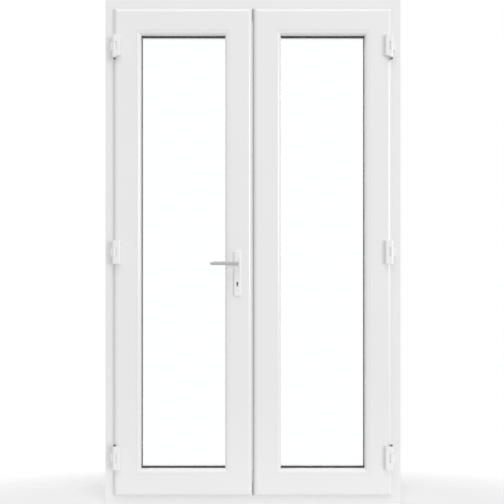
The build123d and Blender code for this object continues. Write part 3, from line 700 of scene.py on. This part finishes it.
def screw_tree():
    """A countersunk screw with a cross recess on each point, facing along the point's vector."""
    shape = Shaping(
        "screws",
        {
            "Shank": "NodeSocketFloat",
            "Head": "NodeSocketFloat",
            "Sink": "NodeSocketFloat",
            "Length": "NodeSocketFloat",
            "Recess": "NodeSocketFloat",
            "Sides": "NodeSocketInt",
            "Material": "NodeSocketMaterial",
        },
    )
    head = shape.node(
        "GeometryNodeMeshCone",
        {},
        {
            "Vertices": shape.given("Sides"),
            "Radius Top": shape.given("Head"),
            "Radius Bottom": shape.given("Shank"),
            "Depth": shape.given("Sink"),
        },
    )
    head = shape.node(
        "GeometryNodeTransform",
        {},
        {
            "Geometry": head,
            "Translation": shape.upright(shape.math("MULTIPLY", shape.given("Sink"), -1.0)),
        },
    )
    arm_length = shape.math("MULTIPLY", shape.given("Head"), CROSS_LENGTH)
    arms = []
    for long_axis in ("X", "Y"):
        short_axis = "Y" if long_axis == "X" else "X"
        size = shape.node(
            "ShaderNodeCombineXYZ",
            {},
            {long_axis: arm_length, short_axis: shape.given("Recess"), "Z": shape.given("Sink")},
        )
        arms.append(shape.node("GeometryNodeMeshCube", {}, {"Size": size}))
    head = shape.node(
        "GeometryNodeMeshBoolean",
        {"operation": "DIFFERENCE"},
        {"Mesh 1": head, "Mesh 2": arms},
    )
    shank_length = shape.math("SUBTRACT", shape.given("Length"), shape.given("Sink"))
    shank = shape.node(
        "GeometryNodeMeshCylinder",
        {},
        {
            "Vertices": shape.given("Sides"),
            "Radius": shape.given("Shank"),
            "Depth": shank_length,
        },
    )
    down = shape.math("MULTIPLY", shank_length, -0.5)
    down = shape.math("SUBTRACT", down, shape.given("Sink"))
    shank = shape.node(
        "GeometryNodeTransform", {}, {"Geometry": shank, "Translation": shape.upright(down)}
    )
    whole = shape.node("GeometryNodeJoinGeometry", {}, {"Geometry": [head, shank]})
    facing = shape.node(
        "GeometryNodeInputNamedAttribute", {"data_type": "FLOAT_VECTOR"}, {"Name": "facing"}
    )
    turn = shape.node(
        "FunctionNodeAlignRotationToVector", {"axis": "Z"}, {"Vector": facing}
    )
    spread = shape.node(
        "GeometryNodeInstanceOnPoints",
        {},
        {"Points": shape.given("Geometry"), "Instance": whole, "Rotation": turn},
    )
    return shape.finish_with(spread)


def islands(name):
    """The corners of each loose piece in a CAD node, as lists of points."""
    mesh = frame["nodes"][name].data
    corners = [tuple(round(part, CORNER_DIGITS) for part in v.co) for v in mesh.vertices]
    merged = {}
    for corner in corners:
        merged.setdefault(corner, len(merged))
    group = list(range(len(merged)))

    def root(k):
        while group[k] != k:
            group[k] = group[group[k]]
            k = group[k]
        return k

    for edge in mesh.edges:
        first, second = (merged[corners[v]] for v in edge.vertices)
        group[root(first)] = root(second)
    found = {}
    for corner, k in merged.items():
        found.setdefault(root(k), []).append(Vector(corner))
    return list(found.values())


def extent(corners):
    """The lowest and highest of some corners along each axis."""
    return [[pick(corner[k] for corner in corners) for k in range(3)] for pick in (min, max)]


def fit_screws(name, body, axis, towards, material, fittings):
    """Screws with real heads in place of a CAD node's plain ones, which are all of one size.

    A screw whose middle passes the test named towards has its head at the high end of its axis.
    """
    screws = islands(name)
    points = []
    facings = []
    for corners in screws:
        lows, highs = extent(corners)
        middle = [(low + high) / 2 for low, high in zip(lows, highs)]
        sign = 1.0 if towards(Vector(middle)) else -1.0
        middle[axis] = highs[axis] if sign > 0 else lows[axis]
        points.append(middle)
        facings.append([sign if k == axis else 0.0 for k in range(3)])
    piece = new_piece(name + "_crossed", points)
    attribute = piece.data.attributes.new("facing", "FLOAT_VECTOR", "POINT")
    for k, facing in enumerate(facings):
        attribute.data[k].vector = facing
    lows, highs = extent(screws[-1])
    across = (axis + 1) % 3
    head = (highs[across] - lows[across]) / 2
    shank = head - fittings.screw_sink * math.tan(SCREW_SLOPE)
    screw_tree().apply(
        piece,
        {
            "Shank": shank,
            "Head": head,
            "Sink": fittings.screw_sink,
            "Length": highs[axis] - lows[axis],
            "Recess": fittings.screw_recess,
            "Sides": fittings.screw_sides,
            "Material": material,
        },
    )
    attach(piece, body)
    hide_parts(name)


# Operators


class DOORS_OT_dress_extrusions(bpy.types.Operator):
    """Paint the frame, the leaves, the beads and the drain caps white"""

    bl_idname = "doors.dress_extrusions"
    bl_label = "Dress extrusions"

    def execute(self, context):
        finishes = context.scene.door_finishes
        stretches = {"upright": ALONG_UPRIGHT, "level": ALONG_LEVEL}
        for owner in ("frame", "leaf"):
            for way, stretch in stretches.items():
                paint = extrusion_finish(f"white {owner} {way}", owner, stretch, finishes)
                names = [n for n in nodes_in("upvc_white") if length_kind(n) == (owner, way)]
                dress(names, paint)
        return {"FINISHED"}


class DOORS_OT_dress_glass(bpy.types.Operator):
    """Give the panes clear glass and the spacers and blocks black plastic"""

    bl_idname = "doors.dress_glass"
    bl_label = "Dress glass"

    def execute(self, context):
        finishes = context.scene.door_finishes
        dress(nodes_in("glass"), glass_finish())
        dress(nodes_in("black_plastic"), plastic_finish("black plastic", finishes.black))
        return {"FINISHED"}


class DOORS_OT_dress_seals(bpy.types.Operator):
    """Give the seals and gaskets their rubber"""

    bl_idname = "doors.dress_seals"
    bl_label = "Dress seals"

    def execute(self, context):
        finishes = context.scene.door_finishes
        dress(nodes_in("black_rubber"), rubber_finish("black rubber", finishes.black, 0.6))
        dress(nodes_in("grey_rubber"), rubber_finish("pale rubber", finishes.pale_rubber, 0.55))
        return {"FINISHED"}


class DOORS_OT_dress_hardware(bpy.types.Operator):
    """Coat the hinges and plates and give the lock its metals"""

    bl_idname = "doors.dress_hardware"
    bl_label = "Dress hardware"

    def execute(self, context):
        finishes = context.scene.door_finishes
        coat = coated_finish(finishes)
        dress(nodes_in("hinge_white") + nodes_in("plate_white"), coat)
        dress(["hinge_pin_caps"], plastic_finish("grey plastic", finishes.cap_grey))
        dress(nodes_in("lever_metal"), satin_finish(finishes))
        dress(nodes_in("stainless_steel"), brushed_finish(finishes))
        dress(nodes_in("lock_steel"), plated_finish(finishes))
        dress(nodes_in("galvanised_steel"), galvanised_finish(finishes))
        return {"FINISHED"}


class DOORS_OT_fit_screws(bpy.types.Operator):
    """Put screws with cross recesses in place of the plain ones"""

    bl_idname = "doors.fit_screws"
    bl_label = "Fit screws"

    def execute(self, context):
        fittings = context.scene.door_fittings
        steel = frame["nodes"]["hinge_pins"].material_slots[0].material
        middle = cad_high[UP] / 2
        fit_screws("faceplate_screws", "active_leaf", RIGHT, lambda p: p.x < 0, steel, fittings)
        fit_screws("edge_screws", "passive_leaf", RIGHT, lambda p: p.x < 0, steel, fittings)
        fit_screws("keep_screws", "frame", UP, lambda p: p.z < middle, steel, fittings)
        fit_screws("plate_screws", "active_leaf", OUT, lambda p: True, steel, fittings)
        return {"FINISHED"}


class DOORS_OT_set_stage(bpy.types.Operator):
    """Lay the floor, hang the lamps and set up the camera and the sky"""

    bl_idname = "doors.set_stage"
    bl_label = "Set stage"

    def execute(self, context):
        stage = context.scene.door_stage
        context.scene.view_settings.view_transform = "Standard"
        self.lay_floor(stage)
        self.hang_lamp("side lamp", stage.side_power, stage.side_size, stage.side_place)
        self.hang_lamp("back lamp", stage.back_power, stage.back_size, stage.back_place)
        self.hang_lamp("top lamp", stage.top_power, stage.top_size, stage.top_place)
        self.set_camera(context, stage)
        self.paint_sky(context, stage)
        return {"FINISHED"}

    def lay_floor(self, stage):
        """A floor that keeps the shadow near the doors and is clear further out."""
        half = stage.floor_size / 2
        corners = [(-half, -half, 0), (half, -half, 0), (half, half, 0), (-half, half, 0)]
        floor = new_piece("floor", corners, [(0, 1, 2, 3)])
        finish = Finish("pale floor")
        x, y, _ = finish.along()
        across = x / stage.floor_width
        deep = y / stage.floor_depth
        out = across * across + deep * deep
        fade = ((out - FADE_START) / (1.0 - FADE_START)).clamped()
        grain = finish.noise(scale=300.0)
        colour = finish.tones(grain, (stage.floor_shade,) * 3, darkest=0.99, palest=1.01)
        matt = finish.node("ShaderNodeBsdfDiffuse", {}, {"Color": colour})
        clear = finish.node("ShaderNodeBsdfTransparent")
        mixed = finish.node("ShaderNodeMixShader", {}, (fade, matt, clear))
        floor.data.materials.append(finish.done(mixed))

    def hang_lamp(self, name, power, size, place):
        """A soft square lamp aimed at the doors' middle, not seen itself or through the glass."""
        lamp = bpy.data.lights.new(name, "AREA")
        lamp.energy = power
        lamp.size = size
        hung = put_in_scene(name, lamp)
        hung.location = place
        aim = Vector((0.0, 0.0, cad_high[UP] / 2)) - Vector(place)
        hung.rotation_euler = aim.to_track_quat("-Z", "Y").to_euler()
        hung.visible_camera = False
        hung.visible_transmission = False

    def set_camera(self, context, stage):
        """A level camera square on to the frame, which fills the picture's height."""
        lens = bpy.data.cameras.new("camera")
        height = cad_high[UP] - cad_low[UP]
        lens.lens = lens.sensor_width * stage.camera_distance / height
        lens.shift_x = -stage.picture_offset / stage.picture_pixels
        lens.clip_start = NEAREST_SEEN
        lens.clip_end = FARTHEST_SEEN
        camera = put_in_scene("camera", lens)
        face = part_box("frame_left_jamb")[0].y
        camera.location = (0.0, face - stage.camera_distance, height / 2)
        camera.rotation_euler = (math.radians(90), 0.0, 0.0)
        context.scene.camera = camera

    def paint_sky(self, context, stage):
        """An even white world."""
        world = bpy.data.worlds.new("white studio")
        context.scene.world = world
        world.use_nodes = True
        finish = Finish("white studio", world.node_tree)
        strength = background_strength(finish, stage.sky)
        light = finish.node(
            "ShaderNodeBackground", {}, {"Color": (1, 1, 1, 1), "Strength": strength}
        )
        finish.node("ShaderNodeOutputWorld", {}, {"Surface": light})


class DOORS_PT_panel(bpy.types.Panel):
    """The doors' sizes, colours and steps"""

    bl_idname = "DOORS_PT_panel"
    bl_label = "French doors"
    bl_space_type = "VIEW_3D"
    bl_region_type = "UI"
    bl_category = "Doors"

    def draw(self, context):
        layout = self.layout
        for settings in (
            context.scene.door_finishes,
            context.scene.door_fittings,
            context.scene.door_stage,
        ):
            box = layout.box()
            for name in settings.__annotations__:
                box.prop(settings, name)
        for step in STEPS:
            layout.operator(step.bl_idname)


STEPS = (
    DOORS_OT_dress_extrusions,
    DOORS_OT_dress_glass,
    DOORS_OT_dress_seals,
    DOORS_OT_dress_hardware,
    DOORS_OT_fit_screws,
    DOORS_OT_set_stage,
)
CLASSES = (DoorFinishes, DoorFittings, DoorStage, *STEPS, DOORS_PT_panel)


def register():
    for one in CLASSES:
        bpy.utils.register_class(one)
    bpy.types.Scene.door_finishes = PointerProperty(type=DoorFinishes)
    bpy.types.Scene.door_fittings = PointerProperty(type=DoorFittings)
    bpy.types.Scene.door_stage = PointerProperty(type=DoorStage)


def unregister():
    del bpy.types.Scene.door_stage
    del bpy.types.Scene.door_fittings
    del bpy.types.Scene.door_finishes
    for one in reversed(CLASSES):
        bpy.utils.unregister_class(one)


def main():
    register()
    bpy.ops.doors.dress_extrusions()
    bpy.ops.doors.dress_glass()
    bpy.ops.doors.dress_seals()
    bpy.ops.doors.dress_hardware()
    bpy.ops.doors.fit_screws()
    bpy.ops.doors.set_stage()


if __name__ == "__main__":
    main()
